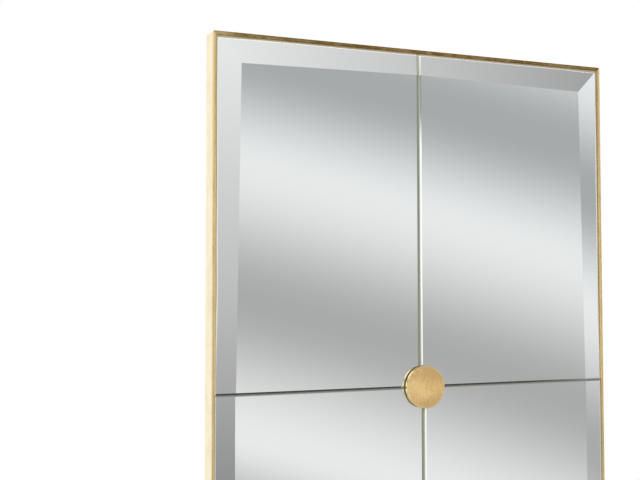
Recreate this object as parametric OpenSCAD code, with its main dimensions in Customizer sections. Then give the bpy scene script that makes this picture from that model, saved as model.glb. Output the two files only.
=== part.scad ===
// Wall mirror: four bevelled panes in a thin gilded frame, pinned by a round
// rosette where their corners meet. Sizes are in millimetres.
// X runs to the viewer's right, Z runs up, and the glass faces -Y.
// The origin is the middle of the wall plane that the mirror hangs against.

/* [Mirror] */
// Width over the frame
overall_w = 764; // [560:2:1000]
// Height over the frame
overall_h = 1176; // [800:2:1500]
// Depth of the frame, front face to back edge
frame_d = 36; // [35:0.5:60]
// Gap between the frame's back edge and the wall
wall_gap = 3; // [1:0.5:10]

/* [Frame profile] */
// Width of the front face
face_w = 6.35; // [6:0.05:12]
// Thickness of the front lip
lip_t = 2; // [1.5:0.1:3]
// Thickness of the outer wall
wall_t = 1.8; // [1.4:0.1:2.2]
// Radius of the soft outer arris
arris_r = 1.2; // [0.4:0.1:1.4]
// Radius of the lip's inner arris
lip_edge_r = 0.5; // [0.2:0.1:0.8]
// Inside width of the channel for the corner keys
channel_w = 16; // [14:0.5:24]
// Room in the channel, front to back
channel_room = 4.2; // [3.6:0.1:6]
// Thickness of the channel's walls
channel_t = 1.4; // [1:0.1:2]
// Reach of each back lip of the channel
channel_lip = 4.5; // [3:0.1:5]
// Width of the return at the back edge
return_w = 6; // [4:0.5:10]

/* [Glass panes] */
// Thickness of the glass
glass_t = 5; // [4:0.5:6]
// Width of the upper panes' wide bevel, at the mirror's corner
upper_bevel_w = 46.4; // [25:0.2:60]
// Width of the lower panes' wide bevel
lower_bevel_w = 36; // [25:0.2:60]
// Angle at which the upper panes' wide bevel narrows towards the seams
bevel_taper = 0.9; // [0:0.1:1.2]
// Slope of the wide bevel
bevel_angle = 2.9; // [1.5:0.1:3.5]
// Width of the narrow bevel along the upright seams
upright_bevel_w = 4.4; // [2:0.1:5]
// Width of the narrow bevel along the level seams
level_bevel_w = 2.6; // [2:0.1:5]
// Slope of the narrow bevel
seam_bevel_angle = 22; // [5:0.5:24]
// Distance from a wide bevel's toe to where a narrow one starts to cross it
crossing_start = 0.3; // [0.1:0.1:1]
// Gap where two panes meet
seam_gap = 0.6; // [0.4:0.1:2]
// Cut across a pane's outer corner, along each edge
pane_nip = 1; // [0.5:0.1:2]
// Room between a pane's edge and the frame's wall
pane_room = 2; // [1.8:0.1:2.4]
// How far left of the middle the upright seams lie between them
seam_aside = 2.4; // [0:0.1:3]
// How far left of that place the upper seam lies, and right the lower one
seam_step_x = 3.2; // [0:0.1:4]
// How far below the middle the level seams lie between them
seam_drop = 0.4; // [0:0.1:3]
// How far above that place the right-hand seam lies, and below the left one
seam_step_z = 0.1; // [0:0.1:4]
// Gap between the lip and the glass behind it
lip_gap = 0.3; // [0.2:0.1:1]

/* [Backing] */
// Thickness of the bonding tape
tape_t = 1; // [0.6:0.1:2]
// Width of one strip of tape
tape_w = 25; // [15:1:40]
// Strips of tape behind each pane
tape_count = 3; // [2:1:5]
// Distance from a pane's edges to the tape
tape_margin = 45; // [20:1:80]
// Thickness of the backing board
board_t = 12; // [9:0.5:13]
// Room between the board and the frame's wall
board_room = 1; // [0.5:0.1:2]
// Width of a hanging batten
batten_w = 45; // [40:1:70]
// Thickness of a hanging batten
batten_t = 11; // [10:0.5:12]
// Room between a batten's ends and the frame
batten_room = 10; // [4:1:40]

/* [Rosette] */
// Diameter of the rosette
rosette_d = 73.4; // [50:0.2:120]
// Thickness of the rosette
rosette_t = 6; // [5:0.5:12]
// Radius of the rosette's front edge
rosette_edge_r = 0.8; // [0.3:0.1:2]
// Diameter of the pad behind the rosette
pad_d = 62; // [40:1:72]
// Thickness of the pad
pad_t = 3.2; // [1:0.1:6]
// Diameter of the stud
stud_d = 6; // [4:0.5:8]
// Depth of the stud in the rosette
stud_grip = 4; // [3:0.5:4.5]
// Room round the stud in the glass
stud_glass_room = 4; // [1:0.5:5]
// Room round the stud in the board
stud_board_room = 0.3; // [0.2:0.1:1]
// Diameter of the washer behind the board
washer_d = 18; // [12:1:30]
// Thickness of the washer
washer_t = 1.2; // [0.8:0.1:2]
// Width of the nut across its flats
nut_w = 10; // [9:0.5:14]
// Height of the nut
nut_h = 5; // [3:0.5:7]

/* [Corner keys and clips] */
// Length of a key's legs
key_leg = 46; // [35:1:80]
// Thickness of a key
key_t = 3; // [2:0.1:3.5]
// Room at each side of a key in its channel
key_room = 0.2; // [0.1:0.1:0.5]
// Diameter of a key's set screws
set_screw_d = 5; // [4:0.5:6]
// Distance between the two set screws of a leg
set_screw_pitch = 16; // [10:1:18]
// Length of a spring clip
clip_len = 40; // [25:1:60]
// Width of a spring clip
clip_w = 12; // [8:1:14]
// Height of a fitted spring clip
clip_h = 2.7; // [2:0.1:3.5]
// Thickness of the clip's strip
clip_t = 0.5; // [0.3:0.1:0.8]
// Spring clips on the top and on the bottom rail
clips_across = 3; // [2:1:5]
// Spring clips on each stile
clips_up = 4; // [2:1:7]

/* [Hangers] */
// Distance from the frame's side to a hanger's middle
hanger_inset = 62; // [52:1:110]
// Distance from the frame's top to the ring's hinge
hanger_drop = 295; // [120:5:360]
// Width of the strap
strap_w = 18; // [14:0.5:22]
// Thickness of the strap's sheet
strap_t = 1.5; // [1:0.1:1.6]
// Length of the strap below the hinge
strap_len = 66; // [60:1:90]
// Length of the fold's slope below the hinge
strap_fold = 9; // [8:0.5:12]
// Distance from the hinge to the first screw
strap_screw_drop = 36; // [34:1:40]
// Distance between the strap's screws
strap_screw_pitch = 18; // [12:1:20]
// Diameter of the ring's wire
ring_wire = 4; // [3:0.1:4.4]
// Width inside the ring
ring_inner = 26; // [24:0.5:32]
// Length of the ring's straight arms, from the hinge
ring_arm = 9; // [7:0.5:12]
// Radius of the bends beside the bar
ring_bend_r = 3.5; // [2.5:0.1:4]
// Running room round the ring's bar
pivot_room = 0.08; // [0.02:0.01:0.1]
// Lean of the ring where it rests on its strap
ring_lean = 5.5; // [5:0.5:20]

/* [Screws and bumpers] */
// Diameter of the wood screws
screw_d = 4; // [3:0.5:5]
// Diameter of a screw's head
screw_head_d = 8; // [7:0.5:10]
// Height of a screw's head
screw_head_h = 2; // [1.5:0.1:2.5]
// Depth of a hanger screw in the batten
hanger_screw_grip = 9; // [6:0.5:9.5]
// Depth of a batten screw in the board
batten_screw_grip = 8; // [5:0.5:8.5]
// Screws along each batten
batten_screws_each = 5; // [2:1:9]
// Distance of the batten screws from the batten's middle line
batten_screw_offset = 15; // [14:0.5:17]
// Distance from a batten's end to its first screw
batten_screw_end = 50; // [45:1:90]
// Diameter of a bumper where it meets the wall
bumper_d = 16; // [13:0.5:24]
// Extra diameter of a bumper at its foot
bumper_flare = 3; // [0:0.5:6]
// Distance from a batten's end to a bumper's middle
bumper_inset = 20; // [14:1:26]
// Depth of a bumper screw in the batten
bumper_screw_grip = 9; // [5:0.5:9.5]
// Distance of a bumper screw's head from the wall
bumper_sink = 2.5; // [1:0.5:4]
// Room round the head of a bumper screw, on the diameter
bumper_well_room = 1; // [0.5:0.5:3]

/* [Hidden] */
$fn = 96;

// Extra length of a cutter past the face that it opens
over = 1;
left = -1;
right = 1;
top = 1;
bottom = -1;

// The stack from the front face towards the wall, as places along Y
front_y = -(wall_gap + frame_d);
frame_back_y = -wall_gap;
lip_back_y = front_y + lip_t;
pane_inset = wall_t + pane_room;
pane_x = overall_w / 2 - pane_inset;
pane_z = overall_h / 2 - pane_inset;
narrowest_bevel_w = min(lower_bevel_w, upper_bevel_w - pane_z * tan(bevel_taper));
lip_cover = face_w - pane_inset;
glass_y = lip_back_y + lip_gap - (narrowest_bevel_w - lip_cover) * tan(bevel_angle);
glass_back_y = glass_y + glass_t;
board_y = glass_back_y + tape_t;
board_back_y = board_y + board_t;
web_y = board_back_y + clip_h;
channel_y = web_y + channel_t;
channel_lip_y = channel_y + channel_room;
channel_back_y = channel_lip_y + channel_t;
batten_back_y = board_back_y + batten_t;

// Reach of the frame's section from its outer face
channel_inner = wall_t + channel_w;
section_w = channel_inner + channel_t;

// Battens and what they carry
batten_x = overall_w / 2 - hanger_inset;
batten_len = overall_h - 2 * (section_w + batten_room);
bumper_z = batten_len / 2 - bumper_inset;
hanger_z = overall_h / 2 - hanger_drop;

// The folded strap and the ring that turns in it
bore_r = ring_wire / 2 + pivot_room;
fold_r = bore_r + strap_t;
hinge_y = batten_back_y + fold_r;
strap_top = 2 * strap_t - fold_r;
ring_half = (ring_inner + ring_wire) / 2;

// Rosette, from the glass forwards
pad_y = glass_y - pad_t;
rosette_y = pad_y - rosette_t;
washer_y = board_back_y;
nut_y = washer_y + washer_t;
stud_tail = stud_d / 3;

gold = "goldenrod";
glass_colour = "lightsteelblue";
steel = "silver";
wood = "burlywood";

// Turns what is drawn along Z so that it points to the wall
module towards_wall(x, y, z)
    translate([x, y, z]) rotate([-90, 0, 0]) children();

// Moves what is drawn for the upper right quarter to any quarter
module in_quarter(side, level)
    mirror([side == left ? 1 : 0, 0, 0])
        mirror([0, 0, level == bottom ? 1 : 0]) children();

// Spreads count values evenly over a length, centred on zero
function spread(count, length) =
    [for (i = [0 : count - 1]) (count == 1 ? 0 : i / (count - 1) - 0.5) * length];

// A square corner's excess over a round of the radius, at the origin
module round_off(radius)
    difference() {
        translate([-over, -over]) square(radius + over);
        translate([radius, radius]) circle(radius);
    }

// Section of the frame: first axis inwards, second axis to the wall
module frame_section() {
    difference() {
        union() {
            square([face_w, lip_t]);
            square([wall_t, frame_d]);
        }
        round_off(arris_r);
        translate([face_w, 0]) mirror([1, 0]) round_off(lip_edge_r);
    }
    translate([0, frame_d - wall_t]) square([return_w, wall_t]);
    translate([0, web_y - front_y]) {
        square([section_w, channel_t]);
        translate([channel_inner, 0])
            square([channel_t, channel_back_y - web_y]);
        translate([0, channel_lip_y - web_y])
            square([wall_t + channel_lip, channel_t]);
        translate([channel_inner - channel_lip, channel_lip_y - web_y])
            square([channel_lip + channel_t, channel_t]);
    }
}

// One mitred side of the frame, drawn as the top one at mid height
module frame_side(length, out)
    color(gold) translate([0, 0, out]) intersection() {
        translate([-length / 2, front_y, 0]) rotate([0, 90, 0])
            linear_extrude(length) frame_section();
        translate([0, frame_back_y, 0]) rotate([90, 0, 0])
            linear_extrude(frame_d) polygon([
                [-length / 2, 0],
                [length / 2, 0],
                [length / 2 - section_w, -section_w],
                [-length / 2 + section_w, -section_w]
            ]);
    }

module top_rail() frame_side(overall_w, overall_h / 2);
module bottom_rail() rotate([0, 180, 0]) frame_side(overall_w, overall_h / 2);
module left_stile() rotate([0, -90, 0]) frame_side(overall_h, overall_w / 2);
module right_stile() rotate([0, 90, 0]) frame_side(overall_h, overall_w / 2);

// Places of a corner's four set screws, from the key's outer corner
key_w = channel_w - 2 * key_room;
set_screw_first = key_leg - key_w / 2 - set_screw_pitch;
set_screw_places = [
    for (step = [0, set_screw_pitch], swap = [false, true])
        let (along = set_screw_first + step)
            swap ? [key_w / 2, along] : [along, key_w / 2]
];

// The key's corner lies this far from the middle of the mirror
key_x = overall_w / 2 - wall_t - key_room;
key_z = overall_h / 2 - wall_t - key_room;

// Runs the children from a key's outer corner inwards, along Z to the wall
module at_key(y)
    translate([key_x, y, key_z]) rotate([-90, 0, 0]) mirror([1, 0, 0])
        children();

// Flat steel angle that draws a mitre together in the channel
module corner_key(side, level)
    color(steel) in_quarter(side, level)
        at_key(channel_lip_y - key_t)
            difference() {
                linear_extrude(key_t) {
                    square([key_leg, key_w]);
                    square([key_w, key_leg]);
                }
                for (place = set_screw_places)
                    translate([place[0], place[1], -over])
                        cylinder(d = set_screw_d, h = key_t + 2 * over);
            }

// Each set screw bears on the channel's floor and jacks the key back
module set_screw() {
    length = channel_room - key_t / 6;
    slot_w = set_screw_d / 5;
    difference() {
        cylinder(d = set_screw_d, h = length);
        translate([-set_screw_d, -slot_w / 2, length - slot_w])
            cube([2 * set_screw_d, slot_w, slot_w + over]);
    }
}

module key_set_screws()
    color("dimgray")
        for (side = [left, right], level = [top, bottom])
            in_quarter(side, level) at_key(channel_y)
                for (place = set_screw_places)
                    translate([place[0], place[1], 0]) set_screw();

// Glass that grinding takes away in front of one flat facet, which passes
// through a toe point on the pane's face and sinks by its slopes along X and Z
module facet_waste(toe_x, toe_z, slope_x, slope_z) {
    reach = 2 * pane_z;
    translate([toe_x, glass_y, toe_z])
        rotate([-asin(slope_z / norm([slope_x, 1, slope_z])), 0, atan(slope_x)])
            translate([-reach, -reach, -reach])
                cube([2 * reach, reach, 2 * reach]);
}

// Wide bevels along the frame, whose toes lean outwards by the taper, narrow
// ones along the seams, and the two facets where a narrow one crosses a wide
// one and sinks by both slopes
module bevels(width, taper, start_x, start_z) {
    across = tan(bevel_angle) * cos(taper);
    along = tan(bevel_angle) * sin(taper);
    narrow = tan(seam_bevel_angle);
    seam_toe_x = start_x + upright_bevel_w;
    seam_toe_z = start_z + level_bevel_w;
    side_toe_x = pane_x - width + (pane_z - seam_toe_z) * tan(taper);
    end_toe_z = pane_z - width + (pane_x - seam_toe_x) * tan(taper);
    facet_waste(pane_x - width, pane_z, across, along);
    facet_waste(pane_x, pane_z - width, along, across);
    facet_waste(seam_toe_x, seam_toe_z, -narrow, 0);
    facet_waste(seam_toe_x, seam_toe_z, 0, -narrow);
    facet_waste(side_toe_x + crossing_start, seam_toe_z, across, along - narrow);
    facet_waste(seam_toe_x, end_toe_z + crossing_start, along - narrow, across);
}

// Inner edges of a pane, measured from the middle towards its own corner:
// the seams step aside where they pass behind the rosette
function pane_start_x(side, level) =
    seam_gap / 2 - side * (seam_aside + level * seam_step_x);
function pane_start_z(side, level) =
    seam_gap / 2 + level * (side * seam_step_z - seam_drop);

// Mirror glass for one quarter: wide bevels outside, narrow ones inside, a
// nipped outer corner, and a bite out of the inner one for the rosette's stud
module pane(side, level) {
    start_x = pane_start_x(side, level);
    start_z = pane_start_z(side, level);
    color(glass_colour) difference() {
        in_quarter(side, level) difference() {
            translate([0, glass_back_y, 0]) rotate([90, 0, 0])
                linear_extrude(glass_t) polygon([
                    [start_x, start_z],
                    [pane_x, start_z],
                    [pane_x, pane_z - pane_nip],
                    [pane_x - pane_nip, pane_z],
                    [start_x, pane_z]
                ]);
            if (level == top)
                bevels(upper_bevel_w, bevel_taper, start_x, start_z);
            else bevels(lower_bevel_w, 0, start_x, start_z);
        }
        towards_wall(0, glass_y - over, 0)
            cylinder(d = stud_d + 2 * stud_glass_room, h = glass_t + 2 * over);
    }
}

// Upright strips of foam tape that bond a pane to the board
module tape(side, level) {
    reach = pane_x - 2 * tape_margin - tape_w;
    middle = pane_x / 2;
    color("white") in_quarter(side, level)
        for (place = spread(tape_count, reach))
            translate([middle + place - tape_w / 2, glass_back_y, tape_margin])
                cube([tape_w, tape_t, pane_z - 2 * tape_margin]);
}

// Countersunk screw, driven along Z from the face at zero
module countersunk_screw(length) {
    cylinder(d1 = screw_head_d, d2 = screw_d, h = screw_head_h);
    cylinder(d = screw_d, h = length);
}

// Round-headed screw whose head stands on the face at zero
module round_screw(length) {
    recess_w = screw_head_d / 7;
    recess_l = screw_head_d * 0.55;
    difference() {
        rotate_extrude() difference() {
            translate([0, -screw_head_h]) square([screw_head_d / 2, screw_head_h]);
            translate([screw_head_d / 2, -screw_head_h]) mirror([1, 0])
                round_off(screw_head_h * 0.7);
        }
        for (turn = [0, 90])
            rotate([0, 0, turn])
                translate([-recess_l / 2, -recess_w / 2, -screw_head_h - over])
                    cube([recess_l, recess_w, screw_head_h * 0.6 + over]);
    }
    cylinder(d = screw_d, h = length);
}

// Puts the children, drawn along Z, at a batten's back face and points
// them into the wood
module into_batten(x, y, z)
    translate([x, y, z]) rotate([90, 0, 0]) children();

// A screw off the batten's middle line passes beside the hanger's strap
batten_screw_x = batten_x - batten_screw_offset;
batten_screw_zs = spread(batten_screws_each, batten_len - 2 * batten_screw_end);

module batten_screws_of(side)
    for (z = batten_screw_zs)
        into_batten(side * batten_screw_x, batten_back_y, z)
            countersunk_screw(batten_t + batten_screw_grip);

module batten_screws()
    color(steel) for (side = [left, right]) batten_screws_of(side);

// Board that carries the panes
module backing_board() {
    board_w = overall_w - 2 * (wall_t + board_room);
    board_h = overall_h - 2 * (wall_t + board_room);
    color("tan") difference() {
        translate([-board_w / 2, board_y, -board_h / 2])
            cube([board_w, board_t, board_h]);
        towards_wall(0, board_y - over, 0)
            cylinder(d = stud_d + 2 * stud_board_room, h = board_t + 2 * over);
        for (side = [left, right]) batten_screws_of(side);
    }
}

// Upright wooden batten that the hanger and two bumpers are screwed to
module batten(side)
    color(wood) difference() {
        translate([side * batten_x - batten_w / 2, board_back_y, -batten_len / 2])
            cube([batten_w, batten_t, batten_len]);
        batten_screws_of(side);
        hanger_screws_of(side);
        bumper_screws_of(side);
    }

// Bowed strip that presses the board forwards off the channel's floor
module spring_clip() {
    bow_r = (clip_h * clip_h - clip_t * clip_t + clip_len * clip_len / 4)
        / (2 * (clip_h - clip_t));
    translate([0, 0, -clip_w / 2]) linear_extrude(clip_w) intersection() {
        translate([0, clip_h - bow_r]) difference() {
            circle(bow_r);
            circle(bow_r - clip_t);
        }
        translate([-clip_len / 2, 0]) square([clip_len, clip_h]);
    }
}

// A row of clips, drawn for the top rail at mid height
module clip_row(count, length, out)
    color("gray")
        for (place = spread(count, length * (count - 1) / count))
            translate([place, board_back_y, out - wall_t - channel_w / 2])
                spring_clip();

module clips_top() clip_row(clips_across, overall_w, overall_h / 2);
module clips_bottom() rotate([0, 180, 0]) clips_top();
module clips_left()
    rotate([0, -90, 0]) clip_row(clips_up, overall_h, overall_w / 2);
module clips_right()
    rotate([0, 90, 0]) clip_row(clips_up, overall_h, overall_w / 2);

// Gilded disc with an eased front edge, tapped behind for its stud
module rosette()
    color(gold) towards_wall(0, rosette_y, 0) difference() {
        rotate_extrude() difference() {
            square([rosette_d / 2, rosette_t]);
            translate([rosette_d / 2, 0]) mirror([1, 0])
                round_off(rosette_edge_r);
        }
        translate([0, 0, rosette_t - stud_grip])
            cylinder(d = stud_d, h = stud_grip + over);
    }

// Felt pad between the rosette and the four panes
module rosette_pad()
    color("dimgray") towards_wall(0, pad_y, 0) difference() {
        cylinder(d = pad_d, h = pad_t);
        translate([0, 0, -over]) cylinder(d = stud_d, h = pad_t + 2 * over);
    }

module rosette_stud()
    color(steel) towards_wall(0, pad_y - stud_grip, 0)
        cylinder(d = stud_d, h = nut_y + nut_h + stud_tail - pad_y + stud_grip);

module rosette_washer()
    color(steel) towards_wall(0, washer_y, 0) difference() {
        cylinder(d = washer_d, h = washer_t);
        translate([0, 0, -over]) cylinder(d = stud_d, h = washer_t + 2 * over);
    }

module rosette_nut()
    color(steel) towards_wall(0, nut_y, 0) difference() {
        cylinder(d = nut_w / cos(30), h = nut_h, $fn = 6);
        translate([0, 0, -over]) cylinder(d = stud_d, h = nut_h + 2 * over);
    }

// Side view of the strap below its fold, with the hinge's axis at the
// origin: first axis to the wall, second axis up. The sheet is doubled, and
// its outer half slopes in from the fold's tangent.
module strap_side() {
    slope_foot = [strap_top, -strap_fold];
    foot_angle = atan2(slope_foot[1], slope_foot[0]);
    tangent_angle = foot_angle + acos(fold_r / norm(slope_foot));
    polygon([
        [-fold_r, 0],
        [0, 0],
        fold_r * [cos(tangent_angle), sin(tangent_angle)],
        slope_foot,
        [strap_top, -strap_len],
        [-fold_r, -strap_len]
    ]);
}

// The strap folded round the ring's bar, before its screw holes
module folded_strap() {
    length = strap_w + 2 * over;
    difference() {
        union() {
            translate([-strap_w / 2, 0, 0]) rotate([90, 0, 90])
                linear_extrude(strap_w) strap_side();
            translate([-strap_w / 2, 0, 0]) rotate([0, 90, 0])
                cylinder(r = fold_r, h = strap_w);
        }
        translate([-length / 2, 0, 0]) rotate([0, 90, 0])
            cylinder(r = bore_r, h = length);
    }
}

strap_screw_drops = [strap_screw_drop, strap_screw_drop + strap_screw_pitch];

module hanger_screws_of(side)
    for (drop = strap_screw_drops)
        into_batten(side * batten_x, hinge_y + strap_top, hanger_z - drop)
            round_screw(2 * strap_t + hanger_screw_grip);

module hanger_screws()
    color(steel) for (side = [left, right]) hanger_screws_of(side);

// Steel strap folded round the ring's bar, with a round foot
module hanger_strap(side)
    color(steel) difference() {
        translate([side * batten_x, hinge_y, hanger_z]) intersection() {
            folded_strap();
            translate([0, 2 * fold_r, 0]) rotate([90, 0, 0])
                linear_extrude(4 * fold_r) {
                    translate([-strap_w / 2, strap_w / 2 - strap_len])
                        square([strap_w, strap_len + fold_r]);
                    translate([0, strap_w / 2 - strap_len]) circle(d = strap_w);
                }
        }
        hanger_screws_of(side);
    }

// Quarter or half turn of the ring's wire in the XZ plane
module wire_bend(x, z, radius, from, sweep)
    translate([x, 0, z]) rotate([90, 0, 0]) rotate([0, 0, from])
        rotate_extrude(angle = sweep)
            translate([radius, 0]) circle(d = ring_wire);

// D ring: a straight bar in the strap's fold, two arms and a half round.
// It hangs from the hinge and leans on the strap.
module hanger_ring(side)
    color(steel) translate([side * batten_x, hinge_y, hanger_z])
        rotate([ring_lean, 0, 0]) {
            bar = ring_half - ring_bend_r;
            translate([-bar, 0, 0]) rotate([0, 90, 0])
                cylinder(d = ring_wire, h = 2 * bar);
            wire_bend(bar, -ring_bend_r, ring_bend_r, 0, 90);
            wire_bend(-bar, -ring_bend_r, ring_bend_r, 90, 90);
            for (x = [-ring_half, ring_half])
                translate([x, 0, -ring_arm])
                    cylinder(d = ring_wire, h = ring_arm - ring_bend_r);
            wire_bend(0, -ring_arm, ring_half, 180, 180);
        }

// Bumper screws stand in a well below the bumper's wall face
bumper_len = -batten_back_y;
bumper_seat_y = -(bumper_sink + screw_head_h);

module bumper_screw_at(side, level)
    into_batten(side * batten_x, bumper_seat_y, level * bumper_z)
        round_screw(bumper_len - bumper_sink - screw_head_h + bumper_screw_grip);

module bumper_screws_of(side)
    for (level = [top, bottom]) bumper_screw_at(side, level);

module bumper_screws()
    color("dimgray") for (side = [left, right]) bumper_screws_of(side);

// Rubber stop that holds the frame off the wall
module bumper(side, level)
    color("black") difference() {
        towards_wall(side * batten_x, batten_back_y, level * bumper_z)
            cylinder(d1 = bumper_d + bumper_flare, d2 = bumper_d, h = bumper_len);
        towards_wall(side * batten_x, bumper_seat_y, level * bumper_z)
            cylinder(d = screw_head_d + bumper_well_room, h = bumper_sink + screw_head_h + over);
        bumper_screw_at(side, level);
    }

top_rail();
bottom_rail();
left_stile();
right_stile();
corner_key(left, top);  // corner_key_top_left
corner_key(right, top);  // corner_key_top_right
corner_key(left, bottom);  // corner_key_bottom_left
corner_key(right, bottom);  // corner_key_bottom_right
key_set_screws();
pane(left, top);  // pane_top_left
pane(right, top);  // pane_top_right
pane(left, bottom);  // pane_bottom_left
pane(right, bottom);  // pane_bottom_right
tape(left, top);  // tape_top_left
tape(right, top);  // tape_top_right
tape(left, bottom);  // tape_bottom_left
tape(right, bottom);  // tape_bottom_right
backing_board();
batten(left);  // left_batten
batten(right);  // right_batten
batten_screws();
clips_top();
clips_bottom();
clips_left();
clips_right();
rosette();
rosette_pad();
rosette_stud();
rosette_washer();
rosette_nut();
hanger_strap(left);  // hanger_strap_left
hanger_strap(right);  // hanger_strap_right
hanger_ring(left);  // hanger_ring_left
hanger_ring(right);  // hanger_ring_right
hanger_screws();
bumper(left, top);  // bumper_top_left
bumper(right, top);  // bumper_top_right
bumper(left, bottom);  // bumper_bottom_left
bumper(right, bottom);  // bumper_bottom_right
bumper_screws();
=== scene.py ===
# %% [markdown]
# # A four-pane wall mirror in a gilded frame
# The object is a wall mirror about 764 mm wide and 1176 mm high: four bevelled
# panes in a thin gilded frame, with a gilded disc over the point where they meet.
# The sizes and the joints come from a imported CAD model, which is loaded first and
# never changed. Everything after that is looks: the view, the studio that the
# glass reflects, the finishes, and the pieces that get a finer shape.

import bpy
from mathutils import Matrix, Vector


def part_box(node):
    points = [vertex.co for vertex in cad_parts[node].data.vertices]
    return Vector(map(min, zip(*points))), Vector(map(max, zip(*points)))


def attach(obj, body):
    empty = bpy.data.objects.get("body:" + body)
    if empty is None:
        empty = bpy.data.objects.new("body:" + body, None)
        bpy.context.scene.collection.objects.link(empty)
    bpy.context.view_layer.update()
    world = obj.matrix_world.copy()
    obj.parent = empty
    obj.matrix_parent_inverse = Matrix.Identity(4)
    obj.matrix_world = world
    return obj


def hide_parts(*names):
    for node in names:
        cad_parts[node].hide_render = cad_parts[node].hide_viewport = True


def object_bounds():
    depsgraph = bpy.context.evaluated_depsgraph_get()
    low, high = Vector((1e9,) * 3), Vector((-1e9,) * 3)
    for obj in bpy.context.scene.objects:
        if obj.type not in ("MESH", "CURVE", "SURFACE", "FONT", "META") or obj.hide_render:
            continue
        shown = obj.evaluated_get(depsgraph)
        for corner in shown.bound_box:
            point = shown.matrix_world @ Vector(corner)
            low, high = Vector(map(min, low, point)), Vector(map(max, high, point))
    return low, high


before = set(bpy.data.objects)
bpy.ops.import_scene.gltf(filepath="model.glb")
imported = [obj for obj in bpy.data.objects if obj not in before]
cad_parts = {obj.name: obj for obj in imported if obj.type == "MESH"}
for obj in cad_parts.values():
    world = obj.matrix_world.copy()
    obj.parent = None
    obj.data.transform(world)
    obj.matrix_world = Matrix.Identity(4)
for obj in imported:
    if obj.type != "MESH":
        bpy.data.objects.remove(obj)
cad_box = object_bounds()

# %% [markdown]
# ## The view
# A camera can be aimed by eye, or worked out from straight lines whose places are
# known. This one was worked out from the frame's edges, the bevels and the seams.
# It stands to the left of the mirror and a little above its middle. It is turned
# to the right and looks up slightly, so the near side of the frame shows its
# depth. The lens is a focal length in pixels of a picture 640 pixels wide.

import bmesh
import bpy
import numpy as np
from mathutils import Vector

PICTURE_WIDTH_PX = 640
FOCAL_LENGTH_PX = 1043.8
SENSOR_MM = 36.0
CAMERA_PLACE = (-0.87035, -1.64494, 0.17377)
CAMERA_TURNS_DEG = (92.5459, 0.0631, -22.8221)

scene = bpy.context.scene
camera = bpy.data.objects.new("camera", bpy.data.cameras.new("camera"))
scene.collection.objects.link(camera)
scene.camera = camera
camera.data.sensor_width = SENSOR_MM
camera.data.lens = FOCAL_LENGTH_PX / PICTURE_WIDTH_PX * SENSOR_MM
camera.location = CAMERA_PLACE
camera.rotation_euler = np.radians(CAMERA_TURNS_DEG)
scene.view_settings.view_transform = "Standard"
print("lens", round(camera.data.lens, 2), "mm")

# %% [markdown]
# ## Sums in a shader
# A finish is a small sum: a colour here, a darker one there, and a mask between.
# Wiring each sum by hand hides it among the nodes. One small class lets the sums
# be written as Python: it holds a node's output, and adding or multiplying it
# adds the Math node that does so. Colours go through Mix nodes, because a Math
# node would turn them grey.

# %% A socket that can be added and multiplied
class Shade:
    """The output of a shader node. Arithmetic on it adds Math nodes to the same tree."""

    def __init__(self, tree, socket=None):
        self.tree = tree
        self.socket = socket

    def fill(self, node, sockets):
        """Gives each named socket of the node its value, or a link where that is a Shade."""
        for name, value in dict(sockets).items():
            if isinstance(value, Shade):
                self.tree.links.new(value.socket, node.inputs[name])
            else:
                node.inputs[name].default_value = value

    def node(self, kind, settings=(), sockets=(), out=0):
        """Adds a node: its settings come first, then the values or links of its sockets."""
        made = self.tree.nodes.new("ShaderNode" + kind)
        for name, value in dict(settings).items():
            setattr(made, name, value)
        self.fill(made, sockets)
        return Shade(self.tree, made.outputs[out] if len(made.outputs) else None)

    def sum(self, operation, *values):
        """A Math node on this value and others, or on the values alone."""
        return self.node("Math", {"operation": operation}, dict(enumerate(values)))

    def __add__(self, other):
        return self.sum("ADD", self, other)

    def __sub__(self, other):
        return self.sum("SUBTRACT", self, other)

    def __rsub__(self, other):
        return self.sum("SUBTRACT", other, self)

    def __mul__(self, other):
        return self.sum("MULTIPLY", self, other)

    __radd__ = __add__
    __rmul__ = __mul__

    def size(self):
        """The value without its sign."""
        return self.sum("ABSOLUTE", self)

    def parts(self):
        """The x, y and z of a vector, as three values."""
        outputs = self.node("SeparateXYZ", {}, {0: self}).socket.node.outputs
        return [Shade(self.tree, outputs[letter]) for letter in "XYZ"]

    def step(self, low, high):
        """A soft step: 0 up to low, 1 from high on, and a smooth curve between."""
        limits = {"Value": self, "From Min": low, "From Max": high}
        return self.node("MapRange", {"interpolation_type": "SMOOTHSTEP"}, limits)

    def band(self, low, high, soft):
        """1 between low and high and 0 outside, over soft edges."""
        return self.step(low - soft, low + soft) * (1.0 - self.step(high - soft, high + soft))

    def towards(self, other, share):
        """This value where share is 0, and the other where share is 1."""
        return self + (other - self) * share

    def mix(self, first, second, blend="MIX"):
        """Colour first where this mask is 0, and second, or first times second, where it is 1."""
        first, second = [c if isinstance(c, Shade) else (*c, 1.0) for c in (first, second)]
        settings = {"data_type": "RGBA", "blend_type": blend}
        return self.node("Mix", settings, {0: self, 6: first, 7: second}, out=2)

    def stretched(self, x, y, z):
        """A place whose pattern is drawn out along an axis where the number is small."""
        return self.node("VectorMath", {"operation": "MULTIPLY"}, {0: self, 1: (x, y, z)})

    def noise(self, grain, detail=3.0, roughness=0.55):
        """Cloudy noise from 0 to 1 at this place, with clouds about grain metres across."""
        sockets = {"Vector": self, "Scale": 1.0 / grain, "Detail": detail, "Roughness": roughness}
        return self.node("TexNoise", {}, sockets)

    def relief(self, distance, strength):
        """This height as a bump, which raises the surface by up to distance metres."""
        return self.node("Bump", {}, {"Strength": strength, "Distance": distance, "Height": self})


print("shader sums are ready")

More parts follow.
